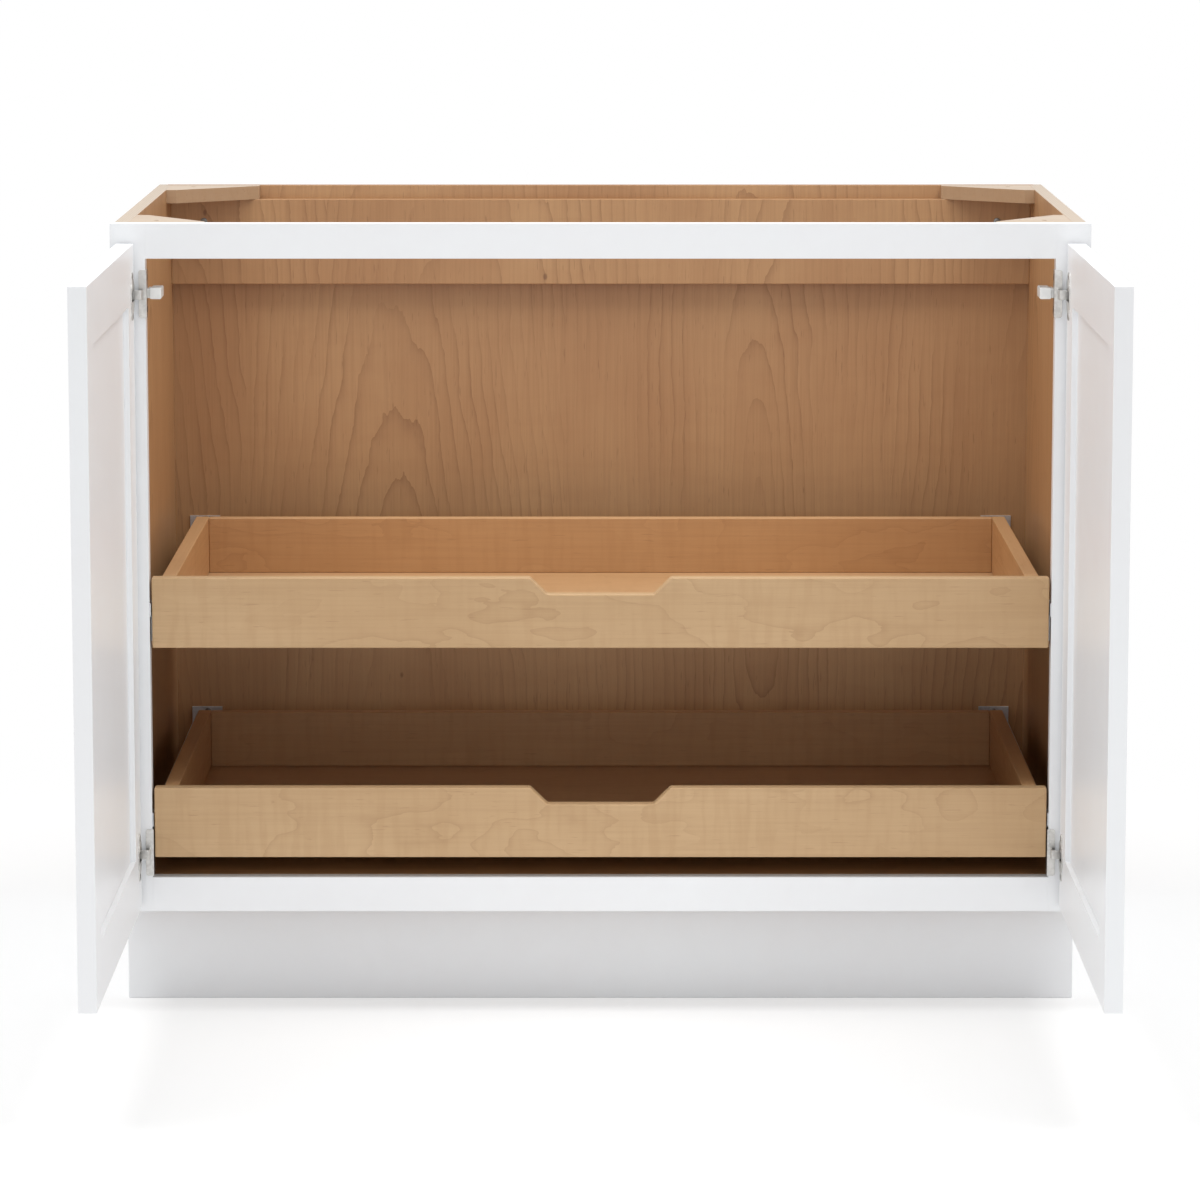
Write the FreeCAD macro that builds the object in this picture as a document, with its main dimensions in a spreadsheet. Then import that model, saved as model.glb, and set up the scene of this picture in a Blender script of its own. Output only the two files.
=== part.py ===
import FreeCAD, Part
import os
from types import SimpleNamespace
import Sketcher

# A double door base cabinet with two roll-out trays, in millimetres
# X runs to the right, Y to the back and Z up. The origin is on the floor, on the wall plane,
# at the middle of the width. The doors stand open by a right angle and the trays are at home.

driving_sizes = {
    # Carcass and face frame
    "cabinet_width": 1066.8,
    "cabinet_height": 876.3,
    "cabinet_depth": 609.6,
    "toe_height": 114.3,
    "toe_recess": 70.0,
    "toe_board": 12.7,
    "frame_thickness": 19.05,
    "frame_stile": 38.1,
    "frame_head": 38.1,
    "frame_sill": 38.1,
    "frame_overhang": 3.2,
    "tenon_length": 14.0,
    "tenon_thickness": 6.4,
    "tenon_shoulder": 6.0,
    "panel_thickness": 15.9,
    "back_thickness": 12.7,
    "dado_depth": 6.0,
    "hanging_rail_height": 101.6,
    "hanging_rail_thickness": 15.9,
    "block_long": 106.0,
    "block_short": 82.0,
    "block_thickness": 15.9,
    "block_clip": 12.0,
    "block_hole_inset": 28.0,
    "block_hole_radius": 3.0,
    # Doors
    "door_reveal": 10.0,
    "door_gap": 3.0,
    "door_clearance": 3.2,
    "door_top_reveal": 21.5,
    "door_bottom_reveal": 6.3,
    "door_thickness": 19.0,
    "door_stile": 63.5,
    "door_rail": 63.5,
    "door_panel_thickness": 6.4,
    "door_panel_recess": 6.0,
    "door_groove": 9.5,
    "door_panel_play": 1.0,
    # Hinges
    "upper_hinge_distance": 55.0,
    "lower_hinge_distance": 60.0,
    "pivot_inset": 7.3,
    "pivot_depth": 8.6,
    "cup_centre": 20.0,
    "cup_radius": 17.4,
    "cup_play": 0.1,
    "cup_depth": 12.5,
    "cup_wall": 0.8,
    "cup_rim": 1.2,
    "flange_thickness": 1.2,
    "flange_height": 52.0,
    "flange_width": 15.0,
    "flange_shift": 5.0,
    "flange_corner": 4.0,
    "slot_reach": 15.0,
    "slot_play": 1.2,
    "pin_radius": 1.25,
    "pin_play": 0.05,
    "pin_end": 0.4,
    "eye_radius": 2.6,
    "ear_thickness": 1.4,
    "ear_play": 0.6,
    "ear_half_width": 2.4,
    "arm_thickness": 1.6,
    "arm_width": 10.0,
    "arm_setback": 2.0,
    "arm_bend": 2.0,
    "plate_thickness": 1.4,
    "plate_height": 52.0,
    "plate_width": 7.2,
    "plate_depth": 16.0,
    "plate_corner": 1.5,
    "damper_neck": 3.2,
    "damper_neck_height": 10.0,
    "damper_neck_inset": 3.0,
    "damper_lap": 2.0,
    "damper_width": 12.2,
    "damper_height": 12.0,
    "damper_length": 34.0,
    "damper_setback": 3.0,
    "damper_round": 1.5,
    # Trays
    "lower_tray_rise": 22.4,
    "upper_tray_rise": 256.8,
    "tray_gap": 2.4,
    "tray_setback": 1.0,
    "tray_front_thickness": 17.5,
    "tray_wall": 16.0,
    "tray_height": 78.0,
    "tray_rear_gap": 87.9,
    "tray_floor": 6.4,
    "tray_floor_rise": 6.0,
    "tray_groove": 5.0,
    "tray_floor_play": 0.5,
    "scoop_top_width": 155.0,
    "scoop_bottom_width": 117.0,
    "scoop_depth": 18.5,
    # Slides
    "slide_thickness": 12.7,
    "slide_rise": 28.0,
    "slide_tail": 10.0,
    "slide_metal": 1.2,
    "outer_half_height": 22.5,
    "outer_depth": 10.5,
    "outer_lip": 2.4,
    "middle_half_height": 17.3,
    "middle_near": 3.0,
    "middle_far": 11.9,
    "middle_setback": 4.0,
    "inner_half_height": 12.1,
    "inner_near": 5.5,
    "inner_short": 8.0,
    "tab_height": 15.0,
    "tab_rise": 14.0,
    "tab_setback": 3.0,
    "tab_lap": 10.0,
    "cage_clearance": 0.3,
    "cage_width": 3.4,
    "cage_length": 120.0,
    "cage_corner": 0.8,
    "bracket_thickness": 1.5,
    "bracket_reach": 35.0,
    "bracket_lap": 32.0,
    "bracket_drop": 10.5,
    "bracket_below": 20.0,
    "bracket_above": 20.0,
    "lever_setback": 150.0,
    "lever_thickness": 2.0,
    "lever_length": 57.0,
    "lever_eye": 4.0,
    "lever_neck": 2.7,
    "lever_waist": 32.0,
    "lever_drop": 5.5,
    "lever_play": 0.3,
    "rivet_head": 0.6,
    "rivet_radius": 2.0,
    "rivet_play": 0.05,
}

doc = FreeCAD.newDocument("base_cabinet")
sheet = doc.addObject("Spreadsheet::Sheet", "dims")
for row, (name, value) in enumerate(driving_sizes.items(), start=1):
    sheet.set("A" + str(row), name)
    sheet.set("B" + str(row), str(value))
    sheet.setAlias("B" + str(row), name)
doc.recompute()


class Size:
    # A length that carries its value and the sheet expression behind it

    def __init__(self, value, text):
        self.value = value
        self.text = text

    def __add__(self, other):
        other = as_size(other)
        return Size(self.value + other.value, "(" + self.text + " + " + other.text + ")")

    def __sub__(self, other):
        other = as_size(other)
        return Size(self.value - other.value, "(" + self.text + " - " + other.text + ")")

    def __rsub__(self, other):
        return as_size(other) - self

    def __mul__(self, factor):
        return Size(self.value * factor, "(" + self.text + " * " + str(factor) + ")")

    def __truediv__(self, factor):
        return Size(self.value / factor, "(" + self.text + " / " + str(factor) + ")")

    def __neg__(self):
        return Size(-self.value, "(0 - " + self.text + ")")


def as_size(number):
    if isinstance(number, Size):
        return number
    text = str(float(number))
    if number < 0:
        text = "(0 - " + str(float(-number)) + ")"
    return Size(float(number), text)


d = SimpleNamespace(**{name: Size(value, "dims." + name) for name, value in driving_sizes.items()})
pieces = []


# Modelling helpers

def bind(item, path, size):
    item.setExpression(path, as_size(size).text)


def board(name, x, y, z):
    item = doc.addObject("Part::Box", name)
    for edge, axis, span in zip(("Length", "Width", "Height"), "xyz", (x, y, z)):
        low = as_size(span[0])
        high = as_size(span[1])
        bind(item, edge, high - low)
        bind(item, "Placement.Base." + axis, low)
    return item


turns = {
    "x": FreeCAD.Rotation(FreeCAD.Vector(0, 1, 0), 90),
    "y": FreeCAD.Rotation(FreeCAD.Vector(1, 0, 0), -90),
    "z": FreeCAD.Rotation(),
}


def rod(name, axis, x, y, z, radius):
    # A round bar along one axis; the coordinate on that axis is a pair of ends
    item = doc.addObject("Part::Cylinder", name)
    item.Placement = FreeCAD.Placement(FreeCAD.Vector(), turns[axis])
    bind(item, "Radius", radius)
    for letter, place in zip("xyz", (x, y, z)):
        if letter == axis:
            low = as_size(place[0])
            bind(item, "Height", as_size(place[1]) - low)
            bind(item, "Placement.Base." + letter, low)
        else:
            bind(item, "Placement.Base." + letter, place)
    return item


plane_axis = {"XY_Plane": "z", "XZ_Plane": "y", "YZ_Plane": "x"}


def prism(name, plane, outline, start, stop):
    # A body padded from a closed outline whose corners are all held by the sheet
    body = doc.addObject("PartDesign::Body", name)
    sketch = body.newObject("Sketcher::SketchObject", name + "_outline")
    support = [item for item in body.Origin.OriginFeatures if item.Role == plane][0]
    sketch.AttachmentSupport = [(support, "")]
    sketch.MapMode = "FlatFace"
    corners = [(as_size(across), as_size(up)) for across, up in outline]
    points = [FreeCAD.Vector(across.value, up.value, 0) for across, up in corners]
    count = len(points)
    for index in range(count):
        sketch.addGeometry(Part.LineSegment(points[index], points[(index + 1) % count]))
    for index in range(count):
        sketch.addConstraint(Sketcher.Constraint("Coincident", index, 2, (index + 1) % count, 1))
    for index, (across, up) in enumerate(corners):
        for kind, size in (("DistanceX", across), ("DistanceY", up)):
            number = sketch.addConstraint(Sketcher.Constraint(kind, -1, 1, index, 1, size.value))
            label = "corner_" + str(index) + ("_across" if kind == "DistanceX" else "_up")
            sketch.renameConstraint(number, label)
            bind(sketch, "Constraints." + label, size)
    pad = body.newObject("PartDesign::Pad", name + "_pad")
    pad.Profile = sketch
    pad.Reversed = plane == "XZ_Plane"
    bind(pad, "Length", as_size(stop) - start)
    bind(body, "Placement.Base." + plane_axis[plane], start)
    return body


def soften(body, direction, radius):
    # Round over the edges of a padded body that run along one direction
    doc.recompute()
    base = body.Tip
    names = []
    for index, edge in enumerate(base.Shape.Edges, start=1):
        if abs(edge.tangentAt(edge.FirstParameter).dot(direction)) > 0.99:
            names.append("Edge" + str(index))
    fillet = body.newObject("PartDesign::Fillet", body.Name + "_round")
    fillet.Base = (base, names)
    bind(fillet, "Radius", radius)
    return body


def join(name, items):
    fused = doc.addObject("Part::MultiFuse", name)
    fused.Shapes = items
    fused.Refine = True
    return fused


def cut(name, base, tools):
    result = doc.addObject("Part::Cut", name)
    result.Base = base
    result.Tool = tools[0] if len(tools) == 1 else join(name + "_tools", tools)
    result.Refine = True
    return result


def group(name, items):
    compound = doc.addObject("Part::Compound", name)
    compound.Links = items
    return compound


def mirror(name, source):
    twin = doc.addObject("Part::Mirroring", name)
    twin.Source = source
    twin.Normal = FreeCAD.Vector(1, 0, 0)
    return twin


def piece(label, item):
    item.Label = label
    pieces.append((label, item))
    return item


def pair(label, item):
    # The left piece and its mirror image on the right
    piece("left_" + label, item)
    piece("right_" + label, mirror("right_" + label + "_twin", item))


# Reference planes
front = -d.cabinet_depth
frame_back = front + d.frame_thickness
back_front = -d.back_thickness
half = d.cabinet_width / 2
opening = half - d.frame_stile
outside = half - d.frame_overhang
inside = outside - d.panel_thickness
top = d.cabinet_height
sill_top = d.toe_height + d.frame_sill
head_bottom = top - d.frame_head
deck_bottom = sill_top - d.panel_thickness
toe_front = front + d.toe_recess
toe_back = toe_front + d.toe_board


# Carcass panels
side_outline = [
    (frame_back, d.toe_height),
    (toe_back, d.toe_height),
    (toe_back, 0),
    (0, 0),
    (0, top),
    (frame_back, top),
]
side_blank = prism("side_blank", "YZ_Plane", side_outline, -outside, -inside)
dado_span = (-inside - d.dado_depth, -inside)
deck_dado = board("deck_dado", dado_span, (frame_back, back_front), (deck_bottom, sill_top))
back_rabbet = board("back_rabbet", dado_span, (back_front, 0), (0, top))
pair("side_panel", cut("side_panel_cut", side_blank, [deck_dado, back_rabbet]))

housed = inside + d.dado_depth
piece("back_panel", board("back_panel", (-housed, housed), (back_front, 0), (0, top)))
deck_span = (deck_bottom, sill_top)
piece("bottom_deck", board("bottom_deck", (-housed, housed), (frame_back, back_front), deck_span))
toe_span = (toe_front, toe_back)
piece("toe_kick_board", board("toe_kick", (-outside, outside), toe_span, (0, d.toe_height)))
rail_top = top - d.block_thickness
rail_depth = (back_front - d.hanging_rail_thickness, back_front)
rail_height = (rail_top - d.hanging_rail_height, rail_top)
piece("hanging_rail", board("hanging_rail", (-inside, inside), rail_depth, rail_height))


# Corner blocks, each with a hole for the countertop screw
def corner_block(name, corner, toward, along_x, along_y):
    # toward is 1 for a block that runs to the back from its corner and -1 for one to the front
    clip = d.block_clip
    near = -inside
    outline = [
        (near, corner),
        (near + along_x, corner),
        (near + along_x, corner + clip * toward),
        (near + clip, corner + along_y * toward),
        (near, corner + along_y * toward),
    ]
    blank = prism(name + "_blank", "XY_Plane", outline, top - d.block_thickness, top)
    hole_x = near + d.block_hole_inset
    hole_y = corner + d.block_hole_inset * toward
    hole = rod(name + "_hole", "z", hole_x, hole_y, (rail_top, top), d.block_hole_radius)
    return cut(name, blank, [hole])


rear_block = corner_block("rear_block", back_front, -1, d.block_long, d.block_short)
front_block = corner_block("front_block", frame_back, 1, d.block_short, d.block_long)
blocks = [rear_block, front_block]
blocks.append(mirror("rear_block_twin", rear_block))
blocks.append(mirror("front_block_twin", front_block))
piece("corner_blocks", group("corner_block_group", blocks))


# Face frame with tenoned rails
frame_span = (front, frame_back)
tenon_front = front + (d.frame_thickness - d.tenon_thickness) / 2
tenon_span = (tenon_front, tenon_front + d.tenon_thickness)
tenon_reach = opening + d.tenon_length
tenons = []
for rail_name, low, high in (("head", head_bottom, top), ("sill", d.toe_height, sill_top)):
    tenon_z = (low + d.tenon_shoulder, high - d.tenon_shoulder)
    bar = board(rail_name + "_bar", (-opening, opening), frame_span, (low, high))
    tenon = board(rail_name + "_tenon", (-tenon_reach, tenon_reach), tenon_span, tenon_z)
    label = "face_frame_top_rail" if rail_name == "head" else "face_frame_bottom_rail"
    piece(label, join(rail_name + "_rail", [bar, tenon]))
    tenons.append(tenon)
stile_bar = board("stile_bar", (-half, -opening), frame_span, (d.toe_height, top))
pair("face_frame_stile", cut("stile_mortised", stile_bar, tenons))


# Doors, standing open by a right angle about their hinge pins
pivot_x = -half + d.door_reveal + d.pivot_inset
pivot_y = front - d.door_clearance - d.pivot_depth
door_width = half - d.door_reveal - d.door_gap / 2
door_back = pivot_x + d.pivot_depth
door_front = door_back - d.door_thickness
hinge_edge = pivot_y + d.pivot_inset
free_edge = hinge_edge - door_width
door_top = top - d.door_top_reveal
door_bottom = d.toe_height + d.door_bottom_reveal
hinge_heights = {
    "lower": door_bottom + d.lower_hinge_distance,
    "upper": door_top - d.upper_hinge_distance,
}

door_span = (door_front, door_back)
groove_back = door_back - d.door_panel_recess
groove_span = (groove_back - d.door_panel_thickness, groove_back)
hinge_shoulder = hinge_edge - d.door_stile
free_shoulder = free_edge + d.door_stile
door_height = (door_bottom, door_top)
cup_y = hinge_edge - d.cup_centre
cup_bottom = door_back - d.cup_depth

hinge_stile_bar = board("hinge_stile_bar", door_span, (hinge_shoulder, hinge_edge), door_height)
hinge_groove_span = (hinge_shoulder, hinge_shoulder + d.door_groove)
bores = [board("hinge_stile_groove", groove_span, hinge_groove_span, door_height)]
for level, height in hinge_heights.items():
    bore_radius = d.cup_radius + d.cup_play
    bore_span = (cup_bottom - d.cup_play, door_back)
    bores.append(rod(level + "_cup_bore", "x", bore_span, cup_y, height, bore_radius))
pair("door_hinge_stile", cut("hinge_stile", hinge_stile_bar, bores))

free_stile_bar = board("free_stile_bar", door_span, (free_edge, free_shoulder), door_height)
free_groove_span = (free_shoulder - d.door_groove, free_shoulder)
free_groove = board("free_stile_groove", groove_span, free_groove_span, door_height)
pair("door_free_stile", cut("free_stile", free_stile_bar, [free_groove]))

tongue_y = (free_shoulder - d.door_groove, hinge_shoulder + d.door_groove)
top_rail_low = door_top - d.door_rail
bottom_rail_high = door_bottom + d.door_rail
rail_spans = {
    "top": ((top_rail_low, door_top), (top_rail_low, top_rail_low + d.door_groove)),
    "bottom": ((door_bottom, bottom_rail_high), (bottom_rail_high - d.door_groove, bottom_rail_high)),
}
for rail_name, (rail_z, groove_z) in rail_spans.items():
    name = "door_" + rail_name + "_rail"
    bar = board(name + "_bar", door_span, (free_shoulder, hinge_shoulder), rail_z)
    tongue = board(name + "_tongue", groove_span, tongue_y, rail_z)
    groove = board(name + "_groove", groove_span, tongue_y, groove_z)
    pair(name, cut(name + "_cut", join(name + "_blank", [bar, tongue]), [groove]))

panel_y = (tongue_y[0] + d.door_panel_play, tongue_y[1] - d.door_panel_play)
panel_low = bottom_rail_high - d.door_groove + d.door_panel_play
panel_high = top_rail_low + d.door_groove - d.door_panel_play
pair("door_panel", board("door_panel", groove_span, panel_y, (panel_low, panel_high)))


# Hinge cups with their pins, on the doors
def clipped_outline(across, up, clip):
    # A rectangle with its four corners cut off
    left, right = across
    low, high = up
    return [
        (left + clip, low),
        (right - clip, low),
        (right, low + clip),
        (right, high - clip),
        (right - clip, high),
        (left + clip, high),
        (left, high - clip),
        (left, low + clip),
    ]


arm_half = d.arm_width / 2
ear_inner = arm_half + d.ear_play
ear_outer = ear_inner + d.ear_thickness
flange_top = door_back + d.flange_thickness
wing_y = cup_y - d.flange_shift


def hinge_cup(level, height):
    name = level + "_cup"
    shell = rod(name + "_shell", "x", (cup_bottom, door_back), cup_y, height, d.cup_radius)
    rim_radius = d.cup_radius + d.cup_rim
    rim = rod(name + "_rim", "x", (door_back, flange_top), cup_y, height, rim_radius)
    wing_across = (wing_y - d.flange_width / 2, wing_y + d.flange_width / 2)
    wing_up = (height - d.flange_height / 2, height + d.flange_height / 2)
    wing_outline = clipped_outline(wing_across, wing_up, d.flange_corner)
    wings = prism(name + "_wings", "YZ_Plane", wing_outline, door_back, flange_top)
    mouth_span = (cup_bottom + d.cup_wall, door_back)
    mouth_radius = d.cup_radius - d.cup_wall
    mouth = rod(name + "_mouth", "x", mouth_span, cup_y, height, mouth_radius)
    # The flange closes the cup over and under a slot in which the arm swings
    slot_x = (door_back - d.cup_wall, flange_top)
    slot_y = (cup_y - d.slot_reach, cup_y + d.slot_reach)
    slot_half = arm_half + d.slot_play
    slot = board(name + "_slot", slot_x, slot_y, (height - slot_half, height + slot_half))
    pressing = cut(name + "_pressing", join(name + "_blank", [shell, rim, wings]), [mouth, slot])
    ear_x = (cup_bottom + d.cup_wall / 2, pivot_x + d.ear_half_width)
    ear_y = (pivot_y - d.ear_half_width, pivot_y + d.ear_half_width)
    low_ear = board(name + "_low_ear", ear_x, ear_y, (height - ear_outer, height - ear_inner))
    high_ear = board(name + "_high_ear", ear_x, ear_y, (height + ear_inner, height + ear_outer))
    pin_z = (height - ear_outer - d.pin_end, height + ear_outer + d.pin_end)
    bore_radius = d.pin_radius + d.pin_play
    bore = rod(name + "_pin_bore", "z", pivot_x, pivot_y, pin_z, bore_radius)
    cup = cut(name + "_body", join(name + "_eared", [pressing, low_ear, high_ear]), [bore])
    pin = rod(name + "_pin", "z", pivot_x, pivot_y, pin_z, d.pin_radius)
    return group(name, [cup, pin])


# Hinge arms, each one pressing that wraps the frame stile and reaches into the cup
plate_front = front - d.plate_thickness
arm_low = pivot_y - d.eye_radius
arm_high = arm_low + d.arm_thickness
bend_x = -opening - d.arm_setback
neck_x = bend_x - d.arm_thickness


def hinge_arm(level, height):
    name = level + "_arm"
    strip_outline = [
        (pivot_x, arm_low),
        (bend_x - d.arm_bend, arm_low),
        (bend_x, arm_low + d.arm_bend),
        (bend_x, front),
        (neck_x, front),
        (neck_x, arm_high + d.arm_bend / 2),
        (neck_x - d.arm_bend / 2, arm_high),
        (pivot_x, arm_high),
    ]
    arm_span = (height - arm_half, height + arm_half)
    strip = prism(name + "_strip", "XY_Plane", strip_outline, arm_span[0], arm_span[1])
    eye = rod(name + "_eye", "z", pivot_x, pivot_y, arm_span, d.eye_radius)
    plate_low = height - d.plate_height / 2
    plate_high = height + d.plate_height / 2
    clip = d.plate_corner
    edge = -opening + d.plate_thickness
    face_left = -opening - d.plate_width
    face_outline = [
        (face_left + clip, plate_low),
        (edge, plate_low),
        (edge, plate_high),
        (face_left + clip, plate_high),
        (face_left, plate_high - clip),
        (face_left, plate_low + clip),
    ]
    face = prism(name + "_face", "XZ_Plane", face_outline, plate_front, front)
    wrap_back = front + d.plate_depth
    wrap_outline = [
        (plate_front, plate_low),
        (wrap_back - clip, plate_low),
        (wrap_back, plate_low + clip),
        (wrap_back, plate_high - clip),
        (wrap_back - clip, plate_high),
        (plate_front, plate_high),
    ]
    wrap = prism(name + "_wrap", "YZ_Plane", wrap_outline, -opening, edge)
    bore_radius = d.pin_radius + d.pin_play
    bore = rod(name + "_bore", "z", pivot_x, pivot_y, arm_span, bore_radius)
    return cut(name, join(name + "_blank", [strip, eye, face, wrap]), [bore])


for level, height in hinge_heights.items():
    pair(level + "_hinge_cup", hinge_cup(level, height))
    pair(level + "_hinge_arm", hinge_arm(level, height))

damper_near = -opening + d.plate_thickness
damper_front = front + d.damper_setback
damper_back = damper_front + d.damper_length
damper_middle = hinge_heights["upper"]
damper_low = damper_middle - d.damper_height / 2
damper_high = damper_middle + d.damper_height / 2
body_near = damper_near + d.damper_neck
body_far = body_near + d.damper_width
damper_outline = [
    (body_near, damper_low),
    (body_far, damper_low),
    (body_far, damper_high),
    (body_near, damper_high),
]
damper_body = prism("damper_body", "XZ_Plane", damper_outline, damper_front, damper_back)
lengthwise = FreeCAD.Vector(0, 1, 0)
rounded_body = soften(damper_body, lengthwise, d.damper_round)
neck_y = (damper_front + d.damper_neck_inset, damper_back - d.damper_neck_inset)
neck_low = damper_middle - d.damper_neck_height / 2
neck_high = damper_middle + d.damper_neck_height / 2
neck_span = (damper_near, body_near + d.damper_lap)
neck = board("damper_neck", neck_span, neck_y, (neck_low, neck_high))
pair("soft_close_damper", join("damper", [rounded_body, neck]))


# Roll-out trays
tray_front_face = front + d.tray_setback
tray_front_back = tray_front_face + d.tray_front_thickness
tray_end = back_front - d.tray_rear_gap
front_half = opening - d.tray_gap
side_out = opening - d.slide_thickness
side_in = side_out - d.tray_wall
back_in = tray_end - d.tray_wall
tray_bottoms = {
    "lower": sill_top + d.lower_tray_rise,
    "upper": sill_top + d.upper_tray_rise,
}


def tray(level, low):
    high = low + d.tray_height
    floor_low = low + d.tray_floor_rise
    floor_z = (floor_low, floor_low + d.tray_floor)
    groove_x = side_in + d.tray_groove
    groove_y = (tray_front_back - d.tray_groove, back_in + d.tray_groove)
    scoop_low = high - d.scoop_depth
    scoop_top = d.scoop_top_width / 2
    scoop_bottom = d.scoop_bottom_width / 2
    front_outline = [
        (-front_half, low),
        (front_half, low),
        (front_half, high),
        (scoop_top, high),
        (scoop_bottom, scoop_low),
        (-scoop_bottom, scoop_low),
        (-scoop_top, high),
        (-front_half, high),
    ]
    name = level + "_tray"
    blank = prism(name + "_face", "XZ_Plane", front_outline, tray_front_face, tray_front_back)
    groove = board(name + "_groove", (-groove_x, groove_x), groove_y, floor_z)
    piece(name + "_front", cut(name + "_front_cut", blank, [groove]))

    wall_z = (low, high)
    wall_y = (tray_front_back, tray_end)
    wall = board(name + "_wall", (-side_out, -side_in), wall_y, wall_z)
    left = cut(name + "_left", wall, [groove])
    piece(name + "_left_side", left)
    piece(name + "_right_side", mirror(name + "_right", left))

    end_board = board(name + "_end", (-side_in, side_in), (back_in, tray_end), wall_z)
    piece(name + "_back", cut(name + "_back_cut", end_board, [groove]))

    play = d.tray_floor_play
    floor_x = (-groove_x + play, groove_x - play)
    floor_y = (groove_y[0] + play, groove_y[1] - play)
    piece(name + "_bottom", board(name + "_floor", floor_x, floor_y, floor_z))


for level, low in tray_bottoms.items():
    tray(level, low)


# Slides with three members each
metal = d.slide_metal
slide_end = tray_end + d.slide_tail


def channel_outline(near, far, middle, half_height):
    # A plain channel with its web at near and its two legs running to far
    web = near + metal if near.value < far.value else near - metal
    low = middle - half_height
    high = middle + half_height
    return [
        (near, low),
        (far, low),
        (far, low + metal),
        (web, low + metal),
        (web, high - metal),
        (far, high - metal),
        (far, high),
        (near, high),
    ]


def lipped_outline(near, far, middle, half_height, lip):
    # The same channel with a lip turned in at the end of each leg
    web = near + metal
    inner = far - metal
    low = middle - half_height
    high = middle + half_height
    return [
        (near, low),
        (far, low),
        (far, low + lip),
        (inner, low + lip),
        (inner, low + metal),
        (web, low + metal),
        (web, high - metal),
        (inner, high - metal),
        (inner, high - lip),
        (far, high - lip),
        (far, high),
        (near, high),
    ]


def slide(level, low):
    name = level + "_slide"
    middle = low + d.slide_rise
    wall_x = -opening

    # Cabinet member with its tongue on the inner edge of the frame stile
    outer_shape = lipped_outline(
        wall_x, wall_x + d.outer_depth, middle, d.outer_half_height, d.outer_lip
    )
    channel = prism(name + "_outer", "XZ_Plane", outer_shape, frame_back, slide_end)
    tab_y = (front + d.tab_setback, frame_back + d.tab_lap)
    tab_middle = middle + d.tab_rise
    tab_z = (tab_middle - d.tab_height / 2, tab_middle + d.tab_height / 2)
    tab = board(name + "_tab", (wall_x, wall_x + metal), tab_y, tab_z)
    outer = join(name + "_outer_joined", [channel, tab])
    piece(level + "_left_slide_cabinet_member", outer)
    piece(level + "_right_slide_cabinet_member", mirror(name + "_outer_twin", outer))

    # Middle members
    middle_y = (frame_back + d.middle_setback, slide_end - d.middle_setback)
    middle_shape = channel_outline(
        wall_x + d.middle_near, wall_x + d.middle_far, middle, d.middle_half_height
    )
    member = prism(name + "_middle", "XZ_Plane", middle_shape, middle_y[0], middle_y[1])
    members = [member, mirror(name + "_middle_twin", member)]
    piece(level + "_slide_middle_members", group(name + "_middle_pair", members))

    # Tray member with the rivet of its release lever
    tray_x = wall_x + d.slide_thickness
    inner_shape = channel_outline(tray_x, wall_x + d.inner_near, middle, d.inner_half_height)
    inner_y = (tray_front_back, tray_end - d.inner_short)
    rail = prism(name + "_inner", "XZ_Plane", inner_shape, inner_y[0], inner_y[1])
    lever_y = tray_front_back + d.lever_setback
    lever_far = tray_x - metal - d.lever_play
    lever_near = lever_far - d.lever_thickness
    rivet_x = (lever_near - d.rivet_head, tray_x - metal / 2)
    rivet = rod(name + "_rivet", "x", rivet_x, lever_y, middle, d.rivet_radius)
    inner = join(name + "_inner_joined", [rail, rivet])
    piece(level + "_left_slide_tray_member", inner)
    piece(level + "_right_slide_tray_member", mirror(name + "_inner_twin", inner))

    # Release lever
    tip = lever_y + d.lever_length
    waist = lever_y + d.lever_waist
    eye_end = lever_y - d.lever_eye
    half_eye = d.lever_eye / 2
    lever_outline = [
        (eye_end, middle - half_eye),
        (eye_end + half_eye, middle - d.lever_eye),
        (waist, middle - d.lever_neck),
        (tip - d.lever_eye, middle - d.lever_drop),
        (tip, middle - d.lever_drop + half_eye / 2),
        (tip, middle + half_eye / 2),
        (waist, middle + d.lever_neck),
        (eye_end + half_eye, middle + d.lever_eye),
        (eye_end, middle + half_eye),
    ]
    lever_blank = prism(name + "_lever_blank", "YZ_Plane", lever_outline, lever_near, lever_far)
    eye_span = (lever_near, lever_far)
    eye_radius = d.rivet_radius + d.rivet_play
    lever_eye = rod(name + "_lever_eye", "x", eye_span, lever_y, middle, eye_radius)
    lever = cut(name + "_lever", lever_blank, [lever_eye])
    piece(level + "_left_release_lever", lever)
    piece(level + "_right_release_lever", mirror(name + "_lever_twin", lever))

    # Ball cages, the outer pair at the rear of the middle member and the inner pair at its front
    outer_gap = (d.middle_half_height, d.outer_half_height - metal)
    inner_gap = (d.inner_half_height, d.middle_half_height - metal)
    outer_y = (middle_y[1] - d.cage_length, middle_y[1])
    inner_cage_y = (middle_y[0], middle_y[0] + d.cage_length)
    outer_x = wall_x + d.outer_depth / 2
    inner_x = wall_x + (d.inner_near + d.slide_thickness) / 2
    rows = (("outer", outer_x, outer_gap, outer_y), ("inner", inner_x, inner_gap, inner_cage_y))
    cages = []
    for row_name, row_x, gap, cage_y in rows:
        across = (row_x - d.cage_width / 2, row_x + d.cage_width / 2)
        near = gap[0] + d.cage_clearance
        far = gap[1] - d.cage_clearance
        spans = {"high": (middle + near, middle + far), "low": (middle - far, middle - near)}
        for place, up in spans.items():
            cage_name = name + "_" + row_name + "_" + place + "_cage"
            cage_outline = clipped_outline(across, up, d.cage_corner)
            cages.append(prism(cage_name, "XZ_Plane", cage_outline, cage_y[0], cage_y[1]))
    cages = cages + [mirror(cage.Name + "_twin", cage) for cage in cages]
    piece(level + "_slide_ball_cages", group(name + "_cages", cages))


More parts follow.
